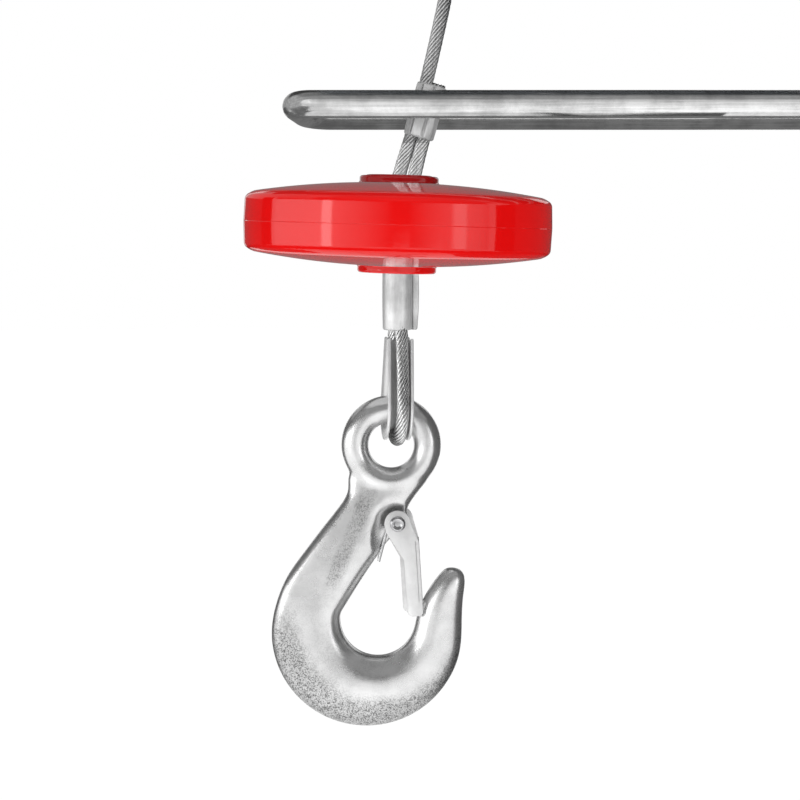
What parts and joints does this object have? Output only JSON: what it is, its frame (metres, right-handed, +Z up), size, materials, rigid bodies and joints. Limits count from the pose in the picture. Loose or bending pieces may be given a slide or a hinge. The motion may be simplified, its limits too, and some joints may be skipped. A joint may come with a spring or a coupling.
{
  "type": "electric hoist hook end",
  "caption": "Hook end of an electric wire-rope hoist: hairpin limit lever and switch on a channel, stop disc on the rope, thimble eye and forged hook with a sprung latch.",
  "frame": {"origin": "middle of the four mounting holes on the frame channel's top face, on the axis of the rope's anchor", "axes": "+Z up, against the load; +X along the limit lever from the rope to its pivot; +Y away from the viewer"},
  "size_m": [0.2103, 0.09, 0.2508],
  "materials": {
    "frame_paint": "satin powder coat",
    "zinc_hook": "bright zinc plating on a forging",
    "zinc_sheet": "zinc-plated sheet",
    "bare_steel": "turned steel",
    "spring_steel": "spring wire",
    "lever_steel": "drawn galvanised rod",
    "rope_steel": "stranded galvanised wire",
    "ferrule_aluminium": "pressed",
    "disc_red": "glossy moulded plastic",
    "bush_bronze": "sintered bronze",
    "ballast_iron": "raw",
    "switch_black": "moulded",
    "plunger_white": "moulded",
    "terminal_brass": "stamped"
  },
  "bodies": {
    "frame": {"frame_channel": "frame_paint", "rope_anchor_bush": "bare_steel", "rope_stop_sleeve": "ferrule_aluminium", "wire_rope": "rope_steel", "ferrule_upper": "ferrule_aluminium", "ferrule_lower": "ferrule_aluminium", "thimble": "zinc_sheet", "pivot_pin": "bare_steel", "pivot_clip": "spring_steel", "lever_stop_pin": "bare_steel", "switch_bracket": "zinc_sheet", "bracket_screws": "bare_steel", "switch_body": "switch_black", "switch_screws": "bare_steel", "switch_terminals": "terminal_brass"},
    "lever": {"lever_rod": "lever_steel", "lever_hub": "bare_steel", "lever_roll_pins": "spring_steel", "pivot_bushes": "bush_bronze"},
    "plunger": {"switch_plunger": "plunger_white"},
    "disc_core": {"disc_core_tube": "bare_steel"},
    "disc": {"disc_upper_shell": "disc_red", "disc_lower_shell": "disc_red", "disc_screws": "bare_steel", "disc_ballast_ring": "ballast_iron"},
    "hook": {"hook_body": "zinc_hook", "latch_rivet": "bare_steel", "latch_spring": "spring_steel"},
    "latch": {"latch": "zinc_sheet"}
  },
  "joints": [
    {"name": "limit_lever_pivot", "type": "hinge", "parent": "frame", "child": "lever", "pos_m": [0.13, 0, -0.0555], "axis": [0, 1, 0], "range_deg": [0, 8]},
    {"name": "switch_plunger_slide", "type": "slide", "parent": "frame", "child": "plunger", "axis": [0, 0, 1], "range_m": [0, 0.0024]},
    {"name": "disc_lift", "type": "slide", "parent": "frame", "child": "disc_core", "axis": [0.0279, 0, 0.9996], "range_m": [0, 0.003]},
    {"name": "disc_spin", "type": "hinge", "parent": "disc_core", "child": "disc", "pos_m": [-0.0171, 0, -0.08835], "axis": [0.0279, 0, 0.9996], "continuous": true},
    {"name": "hook_swing", "type": "hinge", "parent": "frame", "child": "hook", "pos_m": [-0.0174, 0, -0.14282], "axis": [0.9816, 0.1908, 0], "range_deg": [-50, 50]},
    {"name": "latch_open", "type": "hinge", "parent": "hook", "child": "latch", "pos_m": [-0.0172, 0, -0.1762], "axis": [0, 1, 0], "range_deg": [0, 35], "stiffness_Nm_per_rad": 0.01, "springref_deg": -34.38, "deforming": ["latch_spring"]}
  ],
  "couplings": [
    {"joint": "switch_plunger_slide", "follows": "limit_lever_pivot", "m_per_rad": 0.016}
  ]
}
